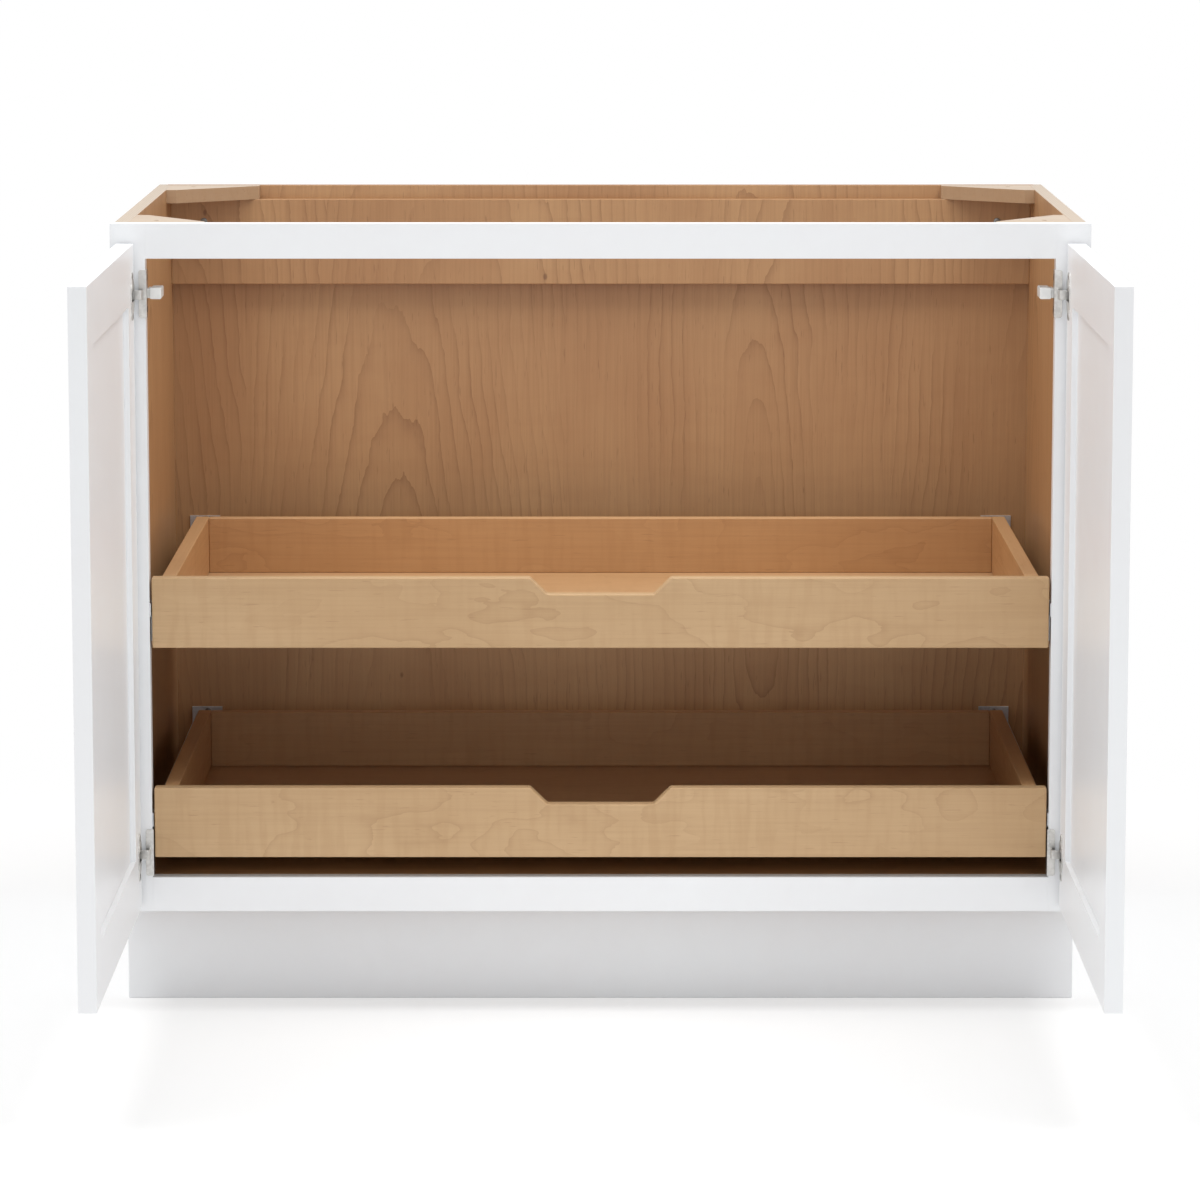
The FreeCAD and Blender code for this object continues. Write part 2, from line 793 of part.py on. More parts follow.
def rear_bracket(level, low):
    # An angle that carries the rear end of a slide, with a taller foot on the back panel
    name = level + "_bracket"
    near = -opening - d.bracket_thickness
    face = back_front - d.bracket_thickness
    arm_end = slide_end - d.bracket_lap
    middle = low + d.slide_rise
    bottom = middle - d.bracket_below
    arm_z = (bottom, middle + d.bracket_above)
    arm = board(name + "_arm", (near, -opening), (arm_end, back_front), arm_z)
    foot_z = (bottom, low + d.tray_height - d.bracket_drop)
    foot_x = (near, -opening + d.bracket_reach)
    foot = board(name + "_foot", foot_x, (face, back_front), foot_z)
    return join(name, [arm, foot])


brackets = []
for level, low in tray_bottoms.items():
    slide(level, low)
    bracket = rear_bracket(level, low)
    brackets.append(bracket)
    brackets.append(mirror(level + "_bracket_twin", bracket))
piece("slide_rear_brackets", group("bracket_group", brackets))


# Check and write every piece
doc.recompute()
for item in doc.Objects:
    if "Invalid" in item.State or "Error" in item.State:
        raise RuntimeError(item.Label + " did not build")
os.makedirs("parts", exist_ok=True)
for label, item in pieces:
    shape = item.Shape
    if not shape.isValid() or not shape.Solids:
        raise RuntimeError(label + " is not a sound solid")
    shape.exportStep("parts/" + label + ".step")
print(len(pieces), "pieces written")
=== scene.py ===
import math

import bpy
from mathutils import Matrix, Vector


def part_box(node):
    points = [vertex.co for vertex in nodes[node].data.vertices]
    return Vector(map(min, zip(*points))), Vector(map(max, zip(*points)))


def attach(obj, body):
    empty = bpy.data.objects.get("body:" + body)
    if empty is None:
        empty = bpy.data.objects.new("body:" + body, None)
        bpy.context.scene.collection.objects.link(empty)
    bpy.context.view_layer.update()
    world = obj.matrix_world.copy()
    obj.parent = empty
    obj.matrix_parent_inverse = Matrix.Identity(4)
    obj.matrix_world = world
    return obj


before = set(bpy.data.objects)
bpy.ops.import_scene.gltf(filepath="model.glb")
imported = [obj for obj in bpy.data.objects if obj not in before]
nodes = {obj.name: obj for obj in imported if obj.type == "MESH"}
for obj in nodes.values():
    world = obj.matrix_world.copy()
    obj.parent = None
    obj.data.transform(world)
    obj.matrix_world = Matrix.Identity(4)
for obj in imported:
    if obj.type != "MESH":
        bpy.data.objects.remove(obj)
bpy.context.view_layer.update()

print("frame loaded:", len(nodes), "solids")


def tone(red, green, blue):
    # a colour as a paint picker shows it (0 to 255), made linear for the shader
    shares = [v / 255 for v in (red, green, blue)]
    linear = [v / 12.92 if v <= 0.04045 else ((v + 0.055) / 1.055) ** 2.4 for v in shares]
    return (*linear, 1.0)


def even(frequency):
    return (frequency,) * 3


class Wire:
    # one output socket; arithmetic on it adds Math nodes to its finish
    def __init__(self, finish, socket):
        self.finish = finish
        self.socket = socket

    def op(self, operation, *values):
        return self.finish.node("ShaderNodeMath", {"operation": operation}, dict(enumerate(values)))

    def __add__(self, other):
        return self.op("ADD", self, other)

    def __radd__(self, other):
        return self.op("ADD", other, self)

    def __sub__(self, other):
        return self.op("SUBTRACT", self, other)

    def __rsub__(self, other):
        return self.op("SUBTRACT", other, self)

    def __mul__(self, other):
        return self.op("MULTIPLY", self, other)

    def __rmul__(self, other):
        return self.op("MULTIPLY", other, self)

    def __truediv__(self, other):
        return self.op("DIVIDE", self, other)

    def __rtruediv__(self, other):
        return self.op("DIVIDE", other, self)

    def __pow__(self, other):
        return self.op("POWER", self, other)

    def __rpow__(self, other):
        return self.op("POWER", other, self)

    def __gt__(self, other):
        return self.op("GREATER_THAN", self, other)

    def __abs__(self):
        return self.op("ABSOLUTE", self)

    def floor(self):
        return self.op("FLOOR", self)

    def fraction(self):
        return self.op("FRACT", self)

    def atMost(self, most):
        return self.op("MINIMUM", self, most)


class Finish:
    # the node tree of one material, or of the world, and the few calls that build it
    def __init__(self, owner):
        owner.use_nodes = True
        self.owner = owner
        self.tree = owner.node_tree
        self.tree.nodes.clear()
        self.known = {}

    def node(self, kind, settings=None, sockets=None, out=0):
        made = self.tree.nodes.new(kind)
        for key, value in (settings or {}).items():
            setattr(made, key, value)
        for key, value in (sockets or {}).items():
            if isinstance(value, Wire):
                self.tree.links.new(value.socket, made.inputs[key])
            else:
                made.inputs[key].default_value = value
        return Wire(self, made.outputs[out]) if made.outputs else None

    def place(self):
        # the point in the piece's own space, so that the finish moves with it
        if "place" not in self.known:
            self.known["place"] = self.node("ShaderNodeTexCoord", out="Object")
        return self.known["place"]

    def axis(self, letter):
        if letter not in self.known:
            self.known[letter] = self.node("ShaderNodeSeparateXYZ", None, {0: self.place()}, letter)
        return self.known[letter]

    def facing(self, letter):
        # how far the surface looks along one axis
        normal = self.node("ShaderNodeTexCoord", out="Normal")
        return self.node("ShaderNodeSeparateXYZ", None, {0: normal}, letter)

    def moved(self, shift, scales):
        return self.node("ShaderNodeMapping", None,
                         {"Vector": self.place(), "Location": shift, "Scale": scales})

    def noise(self, scales, detail, rough, seed):
        # noise with its own scale on each axis, in cycles per metre
        point = self.moved((seed * 3.1, seed * 1.7, seed * 2.3), scales)
        return self.node("ShaderNodeTexNoise", None,
                         {"Vector": point, "Scale": 1.0, "Detail": detail, "Roughness": rough})

    def ramp(self, value, low, high, first=0.0, last=1.0):
        # first up to low, last from high on, an eased step between them
        return self.node("ShaderNodeMapRange", {"interpolation_type": "SMOOTHSTEP"},
                         dict(enumerate((value, low, high, first, last))))

    def mix(self, factor, first, second):
        # 6, 7 and 2 are the colour sockets of a Mix node
        return self.node("ShaderNodeMix", {"data_type": "RGBA"}, {0: factor, 6: first, 7: second}, 2)

    def bump(self, height, strength, distance):
        return self.node("ShaderNodeBump", None,
                         {"Height": height, "Strength": strength, "Distance": distance})

    def surface(self, colour, sockets):
        self.close(self.node("ShaderNodeBsdfPrincipled", None, {"Base Color": colour, **sockets}))
        return self.owner

    def close(self, shader, kind="ShaderNodeOutputMaterial"):
        self.node(kind, None, {0: shader})


def newFinish(name):
    return Finish(bpy.data.materials.new(name))


# satin white paint on the frame, the doors, the toe board and the outside of the sides
paintLook = {"white": (241, 243, 245), "shade": (239, 240, 242), "rough": 0.38, "sheenVaries": 0.10,
             "cloud": 2.2, "cloudShare": 0.7, "film": 38.0, "filmShare": 0.3, "band": (0.35, 0.68),
             "peel": 420.0, "peelBump": 0.25, "peelDepth": 0.00004, "coat": 0.12, "coatRough": 0.3}


def paintTones(f):
    cloud = f.noise(even(paintLook["cloud"]), detail=3.0, rough=0.55, seed=4.0)
    film = f.noise(even(paintLook["film"]), detail=2.0, rough=0.5, seed=9.0)
    amount = f.ramp(cloud * paintLook["cloudShare"] + film * paintLook["filmShare"], *paintLook["band"])
    colour = f.mix(amount, tone(*paintLook["shade"]), tone(*paintLook["white"]))
    gloss = film * paintLook["sheenVaries"] + (paintLook["rough"] - paintLook["sheenVaries"] / 2)
    peel = f.noise(even(paintLook["peel"]), detail=2.0, rough=0.5, seed=2.0)
    return colour, gloss, peel


def whitePaint(name):
    f = newFinish(name)
    colour, gloss, peel = paintTones(f)
    normal = f.bump(peel, paintLook["peelBump"], paintLook["peelDepth"])
    return f.surface(colour, {"Roughness": gloss, "Normal": normal,
                              "Coat Weight": paintLook["coat"],
                              "Coat Roughness": paintLook["coatRough"]})


# veneers: leaf, ringGap and lean are for a sheet sliced from a leaning log, leaf beside leaf,
# and contours for a rotary-cut sheet, whose lines are closed
plyLook = {"pale": (190, 149, 105), "warm": (174, 130, 88), "line": (116, 74, 45),
           "fleck": (104, 64, 38), "edgePale": (188, 174, 158), "edgeDark": (174, 156, 136),
           "leaf": 0.385, "ringGap": 0.0120, "lean": 0.105, "lineSharp": 7.0, "lineDeep": 0.42,
           "ripple": 1.0, "curlKind": "wideCurl", "curl": 0.20, "rough": 0.44, "plyGap": 0.00145}
# the back's and the rail's edges are in wood tones, darker than bare plies, so the rail's top edge
# shows as a dark line: partly the wood's colour, partly painted shade
railLook = dict(plyLook, edgePale=(172, 130, 90), edgeDark=(146, 104, 68))
blockLook = dict(plyLook, pale=(188, 168, 145), warm=(177, 155, 130), line=(152, 119, 88),
                 edgePale=(180, 138, 92), edgeDark=(164, 120, 78))
trayLook = {"pale": (200, 166, 124), "warm": (186, 150, 107), "line": (156, 118, 77),
            "fleck": (148, 106, 67), "edgePale": (212, 184, 146), "edgeDark": (198, 164, 122),
            "contours": 5.6, "lineSharp": 10.0, "lineDeep": 0.30,
            "ripple": 0.9, "curlKind": "tightCurl", "curl": 0.45, "rough": 0.40, "plyGap": 0.00145}
floorLook = dict(trayLook, pale=(198, 159, 117), warm=(185, 145, 102), lineDeep=0.24)
boxLook = dict(trayLook, pale=(201, 157, 110), warm=(186, 141, 94), line=(148, 102, 62),
               lineDeep=0.20, edgePale=(206, 168, 124), edgeDark=(192, 150, 106))

# each kind of figure: cycles per metre along and across the grain, detail, roughness, the step
# that keeps its seed apart, and the band of the noise that counts
woodGrain = {
    "wander": {"scale": (1.6, 4.2), "detail": 3.0, "rough": 0.5, "step": 1.0},
    "ripple": {"scale": (9.0, 26.0), "detail": 4.0, "rough": 0.62, "step": 2.0},
    "patch": {"scale": (3.0, 9.0), "detail": 2.0, "rough": 0.5, "step": 3.0, "band": (0.34, 0.66)},
    "field": {"scale": (6.4, 14.0), "detail": 2.0, "rough": 0.5, "step": 4.0},
    "blotch": {"scale": (2.0, 6.0), "detail": 3.0, "rough": 0.55, "step": 5.0, "band": (0.28, 0.74)},
    "fibre": {"scale": (6.0, 330.0), "detail": 4.0, "rough": 0.65, "step": 6.0, "band": (0.36, 0.72)},
    "dash": {"scale": (42.0, 520.0), "detail": 1.0, "rough": 0.5, "step": 7.0, "band": (0.68, 0.80)},
    "wideCurl": {"scale": (48.0, 14.0), "detail": 2.0, "rough": 0.5, "step": 9.0, "band": (0.42, 0.70)},
}
woodGrain["tightCurl"] = dict(woodGrain["wideCurl"], scale=(110.0, 14.0))
pinKnots = {"scale": (5.5, 9.0), "core": 0.012, "rim": 0.030, "deep": 0.6}
logCut = {"leafShift": 0.37, "heartStray": 0.2, "heartWander": 0.06,
          "depthStray": 0.10, "depthWander": 0.05, "depthFrom": 0.01}
woodMix = {"blotch": 0.86, "ring": 0.14, "fibre": 0.14, "dash": 0.30,
           "glossFibre": 0.16, "glossLine": 0.05, "dashSunk": 0.6}


def slicedRings(f, look, along, across, wander, seed):
    # distance from the log's heart, in rings; each leaf has its own heart
    leafAt = across / look["leaf"] + seed * logCut["leafShift"]
    leafNo = leafAt.floor()
    chance = f.node("ShaderNodeTexWhiteNoise", {"noise_dimensions": "1D"}, {"W": leafNo + seed})
    stray = chance - 0.5
    heart = (leafAt - leafNo - 0.5 + stray * logCut["heartStray"]) * look["leaf"]
    heart = heart + wander * logCut["heartWander"]
    depth = along * look["lean"] + stray * logCut["depthStray"]
    depth = depth + wander * logCut["depthWander"] + logCut["depthFrom"]
    return (heart * heart + depth * depth) ** 0.5 / look["ringGap"]


def woodTones(f, look, run, side, seed):
    # run is the axis along the grain, side the axis across the face
    def scales(along, across):
        return tuple(along if a == run else across for a in "XYZ")

    def grain(kind):
        figure = woodGrain[kind]
        return f.noise(scales(*figure["scale"]), figure["detail"], figure["rough"],
                       seed + figure["step"])

    def banded(kind):
        return f.ramp(grain(kind), *woodGrain[kind]["band"])

    if "contours" in look:
        rings = grain("field") * look["contours"]
    else:
        rings = slicedRings(f, look, f.axis(run), f.axis(side), grain("wander") - 0.5, seed)
    ring = (rings + (grain("ripple") - 0.5) * look["ripple"]).fraction()
    line = ring ** look["lineSharp"] * banded("patch")
    fibre = grain("fibre")
    dash = banded("dash")
    spots = f.moved((seed, seed * 2.0, seed * 3.0), scales(*pinKnots["scale"]))
    pin = f.ramp(f.node("ShaderNodeTexVoronoi", None, {"Vector": spots, "Scale": 1.0}),
                 pinKnots["core"], pinKnots["rim"], 1.0, 0.0)
    colour = f.mix(banded("blotch") * woodMix["blotch"] + ring * woodMix["ring"],
                   tone(*look["pale"]), tone(*look["warm"]))
    colour = f.mix(banded(look["curlKind"]) * look["curl"], colour, tone(*look["warm"]))
    colour = f.mix(line * look["lineDeep"], colour, tone(*look["line"]))
    colour = f.mix(f.ramp(fibre, *woodGrain["fibre"]["band"]) * woodMix["fibre"], colour,
                   tone(*look["line"]))
    colour = f.mix(dash * woodMix["dash"] + pin * pinKnots["deep"], colour, tone(*look["fleck"]))
    gloss = fibre * woodMix["glossFibre"] + (look["rough"] - woodMix["glossFibre"] / 2)
    gloss = gloss + line * woodMix["glossLine"]
    return colour, gloss, fibre - dash * woodMix["dashSunk"]


# edges of a board: plies show as layers, solid edges are a shade of the face
boardEdge = {"turnsFrom": 0.45, "turnsTo": 0.75, "gritThrough": 60.0, "gritAlong": 900.0,
             "gritStep": 8.0, "layerDeep": 0.65, "gritDeep": 0.5, "gritFrom": 0.1,
             "solidShare": 0.55, "duller": 0.16, "rougher": 0.5}
boardCoat = {"bump": 0.22, "depth": 0.00012, "coat": 0.10, "coatRough": 0.28, "paintPeel": 0.3}


def board(name, look, run, side, thin, seed, plies=True, painted=None):
    # thin is the axis through the sheet; it is white further than painted from the middle
    f = newFinish(name)
    colour, gloss, height = woodTones(f, look, run, side, seed)
    rim = f.ramp(abs(f.facing(thin)), boardEdge["turnsFrom"], boardEdge["turnsTo"], 1.0, 0.0)
    gritScales = tuple(boardEdge["gritThrough" if a == thin else "gritAlong"] for a in "XYZ")
    grit = f.noise(gritScales, detail=3.0, rough=0.6, seed=seed + boardEdge["gritStep"])
    shade = grit
    if plies:
        # every other ply is dark
        layer = (f.axis(thin) / look["plyGap"] * 0.5).fraction() > 0.5
        shade = layer * boardEdge["layerDeep"] + grit * boardEdge["gritDeep"] - boardEdge["gritFrom"]
    else:
        rim = rim * boardEdge["solidShare"]
    edge = f.mix(shade, tone(*look["edgePale"]), tone(*look["edgeDark"]))
    colour = f.mix(rim, colour, edge)
    gloss = gloss + rim * boardEdge["duller"]
    height = height + grit * rim * boardEdge["rougher"]
    if painted is not None:
        white, sheen, peel = paintTones(f)
        outside = abs(f.axis("X")) > painted
        colour = f.mix(outside, colour, white)
        gloss = gloss + (sheen - gloss) * outside
        height = height + (peel * boardCoat["paintPeel"] - height) * outside
    normal = f.bump(height, boardCoat["bump"], boardCoat["depth"])
    return f.surface(colour, {"Roughness": gloss, "Normal": normal, "Coat Weight": boardCoat["coat"],
                              "Coat Roughness": boardCoat["coatRough"]})


# plated metals
nickelLook = {"bright": (217, 216, 213), "dull": (190, 188, 185), "rough": 0.30, "grain": 240.0}
zincLook = {"bright": (222, 224, 227), "dull": (192, 195, 200), "rough": 0.40, "grain": 90.0}
ballLook = {"bright": (226, 226, 228), "dull": (198, 198, 202), "rough": 0.16, "grain": 160.0}
screwLook = {"bright": (150, 148, 146), "dull": (112, 110, 108), "rough": 0.32, "grain": 500.0}
rolling = {"along": 0.08, "across": 12.0, "cloud": 18.0, "share": 0.5, "band": (0.36, 0.66),
           "glossStreak": 0.16, "glossCloud": 0.10, "glossDown": 0.12, "bump": 0.15, "depth": 0.00004}


def platedMetal(name, look, drawn, seed):
    # drawn is the axis the sheet was rolled along, which the fine lines follow
    f = newFinish(name)
    streakScales = tuple(look["grain"] * rolling["along" if a == drawn else "across"] for a in "XYZ")
    streak = f.noise(streakScales, detail=3.0, rough=0.6, seed=seed)
    spangle = f.noise(even(look["grain"]), detail=3.0, rough=0.6, seed=seed + 1.0)
    cloud = f.noise(even(rolling["cloud"]), detail=2.0, rough=0.5, seed=seed + 2.0)
    wear = f.ramp(spangle * rolling["share"] + cloud * rolling["share"], *rolling["band"])
    colour = f.mix(wear, tone(*look["bright"]), tone(*look["dull"]))
    gloss = streak * rolling["glossStreak"] + cloud * rolling["glossCloud"]
    gloss = gloss + (look["rough"] - rolling["glossDown"])
    normal = f.bump(streak, rolling["bump"], rolling["depth"])
    return f.surface(colour, {"Metallic": 1.0, "Roughness": gloss, "Normal": normal})


# moulded plastics
damperLook = {"pale": (240, 240, 238), "shade": (224, 225, 224), "rough": 0.42, "pit": 1400.0}
leverLook = {"pale": (44, 44, 45), "shade": (24, 24, 25), "rough": 0.50, "pit": 1600.0}
moulding = {"flow": 30.0, "band": (0.35, 0.68), "glossFlow": 0.12, "glossPit": 0.10,
            "glossDown": 0.1, "bump": 0.3, "depth": 0.00005}


def mouldedPlastic(name, look, seed):
    f = newFinish(name)
    pit = f.noise(even(look["pit"]), detail=2.0, rough=0.5, seed=seed)
    flow = f.noise(even(moulding["flow"]), detail=3.0, rough=0.5, seed=seed + 1.0)
    colour = f.mix(f.ramp(flow, *moulding["band"]), tone(*look["pale"]), tone(*look["shade"]))
    gloss = flow * moulding["glossFlow"] + pit * moulding["glossPit"]
    gloss = gloss + (look["rough"] - moulding["glossDown"])
    normal = f.bump(pit, moulding["bump"], moulding["depth"])
    return f.surface(colour, {"Roughness": gloss, "Normal": normal})


paint = whitePaint("white_paint_satin")
screwSteel = platedMetal("screw_steel", screwLook, "X", 41.0)
# the first of these words found in a piece's name gives its finish
hardware = {
    "hinge_": platedMetal("nickel_plate", nickelLook, "Z", 11.0),
    "damper": mouldedPlastic("white_moulding", damperLook, 3.0),
    "lever": mouldedPlastic("black_moulding", leverLook, 5.0),
    "ball_cages": platedMetal("polished_cage", ballLook, "Y", 31.0),
    "slide_": platedMetal("zinc_plate", zincLook, "Y", 23.0),
}
paintedEdge = 0.0006          # the paint wraps this far over the edges of the sides
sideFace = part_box("right_side_panel")[1].x - paintedEdge
veneers = {
    "left_side_panel": board("left_side_veneer", plyLook, "Z", "Y", "X", 1.0, True, sideFace),
    "right_side_panel": board("right_side_veneer", plyLook, "Z", "Y", "X", 2.0, True, sideFace),
    "back_panel": board("back_veneer", railLook, "Z", "X", "Y", 3.0),
    "bottom_deck": board("deck_veneer", plyLook, "X", "Y", "Z", 4.0),
    "hanging_rail": board("rail_veneer", railLook, "Z", "X", "Y", 5.0),
    "corner_blocks": board("block_veneer", blockLook, "X", "Y", "Z", 6.0, False),
}
# each tray's pieces: finish, look, axes of grain, face and thickness, step of the seed, plies shown
trayPieces = {
    "front": ("front_maple", trayLook, "X", "Z", "Y", 0.0, False),
    "left_side": ("left_side_maple", boxLook, "Y", "Z", "X", 1.0, False),
    "right_side": ("right_side_maple", boxLook, "Y", "Z", "X", 2.0, False),
    "back": ("back_maple", boxLook, "X", "Z", "Y", 3.0, False),
    "bottom": ("floor_maple", floorLook, "X", "Y", "Z", 4.0, True),
}
for level, firstSeed in (("lower", 10.0), ("upper", 20.0)):
    for part, (maple, look, run, side, thin, step, plies) in trayPieces.items():
        veneers[f"{level}_tray_{part}"] = board(f"{level}_{maple}", look, run, side, thin,
                                                firstSeed + step, plies)


def finishFor(name):
    if name in veneers:
        return veneers[name]
    if name.endswith("hinge_stile"):
        return paint
    return next((metal for key, metal in hardware.items() if key in name), paint)


# softened arrises, in metres: the first name found in a piece's own name counts
easedEdges = {"face_frame": 0.00018, "door_panel": 0.0004, "door": 0.00035, "toe_kick": 0.0010,
              "tray_bottom": 0.0003, "tray_front": 0.0016, "tray": 0.0012, "corner_blocks": 0.0012,
              "hinge_cup": 0.0002, "damper": 0.0005, "slide": 0.00025, "lever": 0.0004}
# flatWithin and sharpFrom are angles in degrees
easing = {"plain": 0.0007, "weld": 0.00001, "flatWithin": 0.5, "sharpFrom": 40, "segments": 2}


def easeEdges(name, node):
    weld = node.modifiers.new("closed", "WELD")
    weld.merge_threshold = easing["weld"]
    flat = node.modifiers.new("flat", "DECIMATE")          # whole faces in place of triangles
    flat.decimate_type = "DISSOLVE"
    flat.angle_limit = math.radians(easing["flatWithin"])
    eased = node.modifiers.new("eased", "BEVEL")
    eased.width = next((w for key, w in easedEdges.items() if key in name), easing["plain"])
    eased.segments = easing["segments"]
    eased.harden_normals = True
    eased.limit_method = "ANGLE"
    eased.angle_limit = math.radians(easing["sharpFrom"])


for name, node in nodes.items():
    node.data.materials.clear()
    node.data.materials.append(finishFor(name))
    if "ball_cages" not in name:          # the cages have clipped corners already
        easeEdges(name, node)
print("finishes laid on the solids:", len(veneers) + len(hardware) + 1)


def bare():
    # nothing selected, object mode
    if bpy.context.mode != "OBJECT":
        bpy.ops.object.mode_set(mode="OBJECT")
    bpy.ops.object.select_all(action="DESELECT")


def pickOnly(obj):
    bare()
    obj.select_set(True)
    bpy.context.view_layer.objects.active = obj


def pickFaces(obj, test):
    # selects the faces whose normal passes the test, then edit mode
    bpy.ops.object.mode_set(mode="OBJECT")
    mesh = obj.data
    for group in (mesh.vertices, mesh.edges, mesh.polygons):
        for item in group:
            item.select = False
    for face in mesh.polygons:
        face.select = test(face.normal)
    bpy.ops.object.mode_set(mode="EDIT")
    bpy.ops.mesh.select_mode(type="FACE")


levelFace = 0.9          # a face whose normal has this much Z or more lies level


def topFaces(normal):
    return normal.z > levelFace


def underFaces(normal):
    return normal.z < -levelFace


# cross-head screws, pointing up the Z axis with the seat at zero: a flush head and a domed one
flatScrewCut = {"radius": 0.0036, "sunk": 0.0012, "proud": 0.00030, "rim": 0.00016, "cone": 0.55,
                "crossLong": 0.0042, "crossWide": 0.00095, "crossDeep": 0.0010, "crossTaper": 0.62,
                "sides": 28, "smooth": 35}
panScrewCut = dict(flatScrewCut, radius=0.0042, proud=0.0012, rim=0.0008,
                   crossLong=0.0050, crossWide=0.0011)


def crossBar(cut, turn):
    # one bar of the recess, narrower inwards
    bare()
    bpy.ops.mesh.primitive_cube_add(size=1.0, location=(0, 0, cut["proud"]), rotation=(0, 0, turn))
    bar = bpy.context.object
    bar.scale = (cut["crossLong"], cut["crossWide"], cut["crossDeep"] * 2)
    bpy.ops.object.transform_apply(location=True, rotation=True, scale=True)
    pickFaces(bar, underFaces)
    bpy.ops.transform.resize(value=(cut["crossTaper"], cut["crossTaper"], 1.0))
    bpy.ops.object.mode_set(mode="OBJECT")
    return bar


def screwHead(name, cut):
    bare()
    bpy.ops.mesh.primitive_cylinder_add(vertices=cut["sides"], radius=cut["radius"],
                                        depth=cut["sunk"] + cut["proud"],
                                        location=(0, 0, (cut["proud"] - cut["sunk"]) / 2))
    head = bpy.context.object
    head.name = name
    head.data.name = name
    bpy.ops.object.transform_apply(location=True)
    pickFaces(head, topFaces)
    bpy.ops.mesh.bevel(offset=cut["rim"], segments=2, affect="EDGES")
    pickFaces(head, underFaces)
    bpy.ops.transform.resize(value=(cut["cone"], cut["cone"], 1.0))
    bpy.ops.object.mode_set(mode="OBJECT")
    bars = [crossBar(cut, turn * math.pi / 4) for turn in (1, 3)]
    for bar in bars:
        recess = head.modifiers.new("cross", "BOOLEAN")
        recess.operation = "DIFFERENCE"
        recess.object = bar
        recess.solver = "EXACT"
        pickOnly(head)
        bpy.ops.object.modifier_apply(modifier=recess.name)
        bpy.data.objects.remove(bar)
    pickOnly(head)
    bpy.ops.object.shade_smooth_by_angle(angle=math.radians(cut["smooth"]))
    head.data.materials.append(screwSteel)
    return head


def driven(name, pattern, spots, body):
    # one copy of the pattern screw at each spot (point, direction it faces), joined
    made = []
    for at, out in spots:
        pickOnly(pattern)
        bpy.ops.object.duplicate(linked=False)
        copy = bpy.context.object
        copy.rotation_mode = "QUATERNION"
        copy.rotation_quaternion = Vector((0, 0, 1)).rotation_difference(Vector(out))
        copy.location = at
        bpy.ops.object.transform_apply(location=True, rotation=True, scale=True)
        made.append(copy)
    bare()
    for copy in made:
        copy.select_set(True)
    bpy.context.view_layer.objects.active = made[0]
    bpy.ops.object.join()
    piece = bpy.context.object
    piece.name = name
    piece.data.name = name
    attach(piece, body)


def innerFace(name, sign):
    # the X of a piece's face that looks to the middle of the cabinet
    low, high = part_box(name)
    return high.x if sign < 0 else low.x


def outerFace(name, sign):
    return innerFace(name, -sign)


flatScrew = screwHead("flat_screw", flatScrewCut)
panScrew = screwHead("pan_screw", panScrewCut)
sides = {"left": -1, "right": 1}

# hinge screws: two in the wings of each cup, two in each plate, above and below the arm
hingeScrews = {"wingUp": 0.0215, "wingIn": 0.0136, "plateUp": 0.0175, "plateIn": 0.0085}
for side, sign in sides.items():
    cupSpots = []
    plateSpots = []
    for end in ("lower", "upper"):
        cup = f"{side}_{end}_hinge_cup"
        arm = f"{side}_{end}_hinge_arm"
        low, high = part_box(cup)
        middle = (low.z + high.z) / 2
        wingY = low.y + hingeScrews["wingIn"]
        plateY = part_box(arm)[1].y - hingeScrews["plateIn"]
        for up in (-1, 1):
            cupSpots.append(((innerFace(cup, sign), wingY, middle + up * hingeScrews["wingUp"]),
                             (-sign, 0, 0)))
            plateSpots.append(((innerFace(arm, sign), plateY, middle + up * hingeScrews["plateUp"]),
                               (-sign, 0, 0)))
    driven(side + "_cup_screws", flatScrew, cupSpots, side + "_door")
    driven(side + "_plate_screws", flatScrew, plateSpots, "cabinet")

# tab screws hold the slides to the stiles, foot screws hold the rear brackets to the back
slideScrews = {"tabIn": 0.0075, "tabUp": 0.0140, "tabMetal": 0.0012, "footMetal": 0.0015,
               "footIn": 0.0193, "upperFootDrop": 0.0165, "lowerFootDrop": 0.0520}
tabSpots = []
footSpots = []
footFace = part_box("slide_rear_brackets")[1].y - slideScrews["footMetal"]
for level in ("lower", "upper"):
    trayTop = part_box(level + "_tray_back")[1].z
    for side, sign in sides.items():
        member = f"{level}_{side}_slide_cabinet_member"
        low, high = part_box(member)
        tabX = outerFace(member, sign) - sign * slideScrews["tabMetal"]
        tabZ = (low.z + high.z) / 2 + slideScrews["tabUp"]
        tabSpots.append(((tabX, low.y + slideScrews["tabIn"], tabZ), (-sign, 0, 0)))
        footX = outerFace("slide_rear_brackets", sign) - sign * slideScrews["footIn"]
        for drop in (slideScrews["upperFootDrop"], slideScrews["lowerFootDrop"]):
            footSpots.append(((footX, footFace, trayTop - drop), (0, -1, 0)))
driven("slide_tab_screws", flatScrew, tabSpots, "cabinet")
driven("bracket_foot_screws", panScrew, footSpots, "cabinet")

# one screw near each end of the hanging rail
hangingScrews = {"in": 0.0393, "down": 0.0264}
railLow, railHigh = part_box("hanging_rail")
hangingX = railHigh.x - hangingScrews["in"]
hangingZ = railHigh.z - hangingScrews["down"]
hangingSpots = [((sign * hangingX, railLow.y, hangingZ), (0, -1, 0)) for sign in sides.values()]
driven("hanging_rail_screws", panScrew, hangingSpots, "cabinet")
for pattern in (flatScrew, panScrew):
    bpy.data.objects.remove(pattern)
print("screws driven")

# floor that goes to clean white away from the cabinet and keeps its soft shadow
studio = {"floorSize": 14.0, "floorDrop": 0.0004, "floorTone": (250, 250, 250), "centreY": -0.55,
          "nearWhite": 0.50, "fadeFrom": 0.8, "fadeTo": 1.9, "ambient": 0.63}
pureWhite = (1, 1, 1, 1)


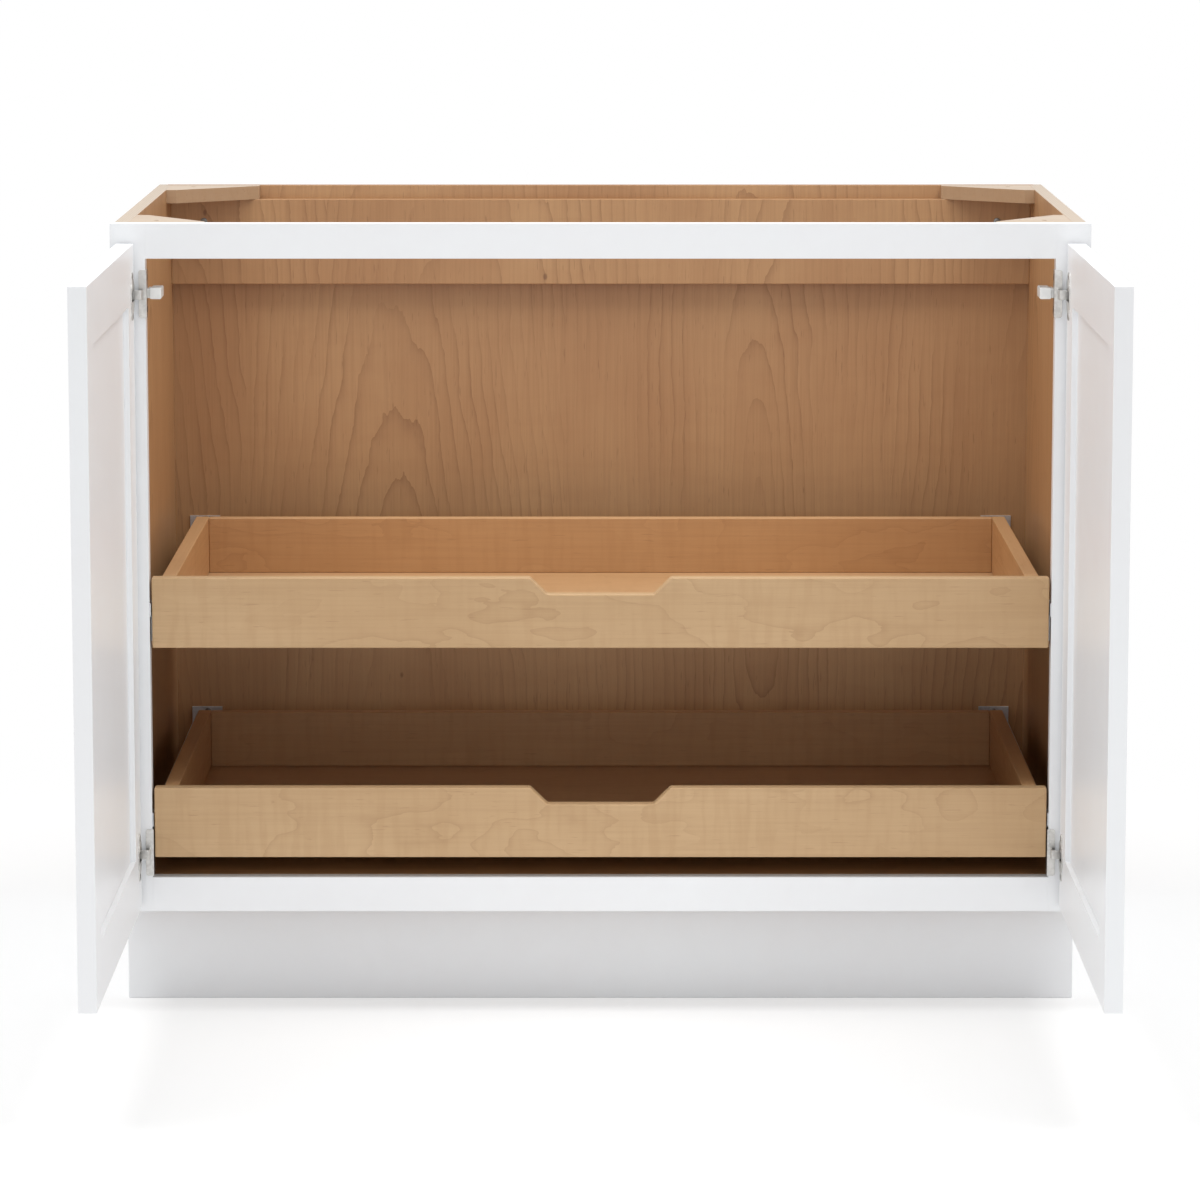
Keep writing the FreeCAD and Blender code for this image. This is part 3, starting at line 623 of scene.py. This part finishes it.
def seenOrMirrored(f):
    # 1 on the rays that show the background itself
    seen = [f.node("ShaderNodeLightPath", out=f"Is {ray} Ray")
            for ray in ("Camera", "Glossy", "Transmission")]
    return (seen[0] + seen[1] + seen[2]).atMost(1.0)


bare()
bpy.ops.mesh.primitive_plane_add(size=studio["floorSize"], location=(0, 0, -studio["floorDrop"]))
floor = bpy.context.object
floor.name = "studio_floor"
bpy.ops.object.transform_apply(location=True)
ground = newFinish("studio_white")
plain = ground.node("ShaderNodeBsdfDiffuse", None, {"Color": tone(*studio["floorTone"])})
glow = ground.node("ShaderNodeEmission", None, {"Color": pureWhite, "Strength": 1.0})
acrossFloor = ground.axis("X")
backFloor = ground.axis("Y") - studio["centreY"]
away = (acrossFloor * acrossFloor + backFloor * backFloor) ** 0.5
fade = ground.ramp(away, studio["fadeFrom"], studio["fadeTo"], studio["nearWhite"], 1.0)
ground.close(ground.node("ShaderNodeMixShader", None,
                         {0: fade * seenOrMirrored(ground), 1: plain, 2: glow}))
floor.data.materials.append(ground.owner)

# the air lights the cabinet softly and is white where it is seen or mirrored
air = Finish(bpy.data.worlds.new("studio_air"))
soft = air.node("ShaderNodeBackground", None, {"Color": pureWhite, "Strength": studio["ambient"]})
white = air.node("ShaderNodeBackground", None, {"Color": pureWhite, "Strength": 1.0})
air.close(air.node("ShaderNodeMixShader", None, {0: seenOrMirrored(air), 1: soft, 2: white}),
          "ShaderNodeOutputWorld")
bpy.context.scene.world = air.owner

# soft boxes: two overhead, just before the frame, and a low one before the toe board
lamps = {
    "left_high_box": {"at": (-1.3, -0.95, 3.6), "look": (0.4, -0.9, 0.4), "size": 1.6, "watts": 52},
    "right_high_box": {"at": (1.3, -0.95, 3.6), "look": (-0.4, -0.9, 0.4), "size": 1.6, "watts": 52},
    "low_front_box": {"at": (0.0, -3.3, 0.22), "look": (0, -0.54, 0.10), "size": 1.8, "watts": 6},
}
for name, lamp in lamps.items():
    bare()
    bpy.ops.object.light_add(type="AREA", location=lamp["at"])
    light = bpy.context.object
    light.name = name
    light.data.name = name
    light.data.shape = "SQUARE"
    light.data.size = lamp["size"]
    light.data.energy = lamp["watts"]
    aim = Vector(lamp["look"]) - Vector(lamp["at"])
    light.rotation_euler = aim.to_track_quat("-Z", "Y").to_euler()

# the photograph's own view; down is the pitch in degrees, lens and sensor are in millimetres
view = {"at": (-0.0005, -6.2633, 1.3140), "down": 8.561, "lens": 156.21, "sensor": 36.0}
bare()
bpy.ops.object.camera_add(location=view["at"], rotation=(math.radians(90 - view["down"]), 0, 0))
camera = bpy.context.object
camera.name = "product_view"
camera.data.lens = view["lens"]
camera.data.sensor_width = view["sensor"]
bpy.context.scene.camera = camera
bpy.context.scene.view_settings.view_transform = "Standard"
bare()
print("studio set")
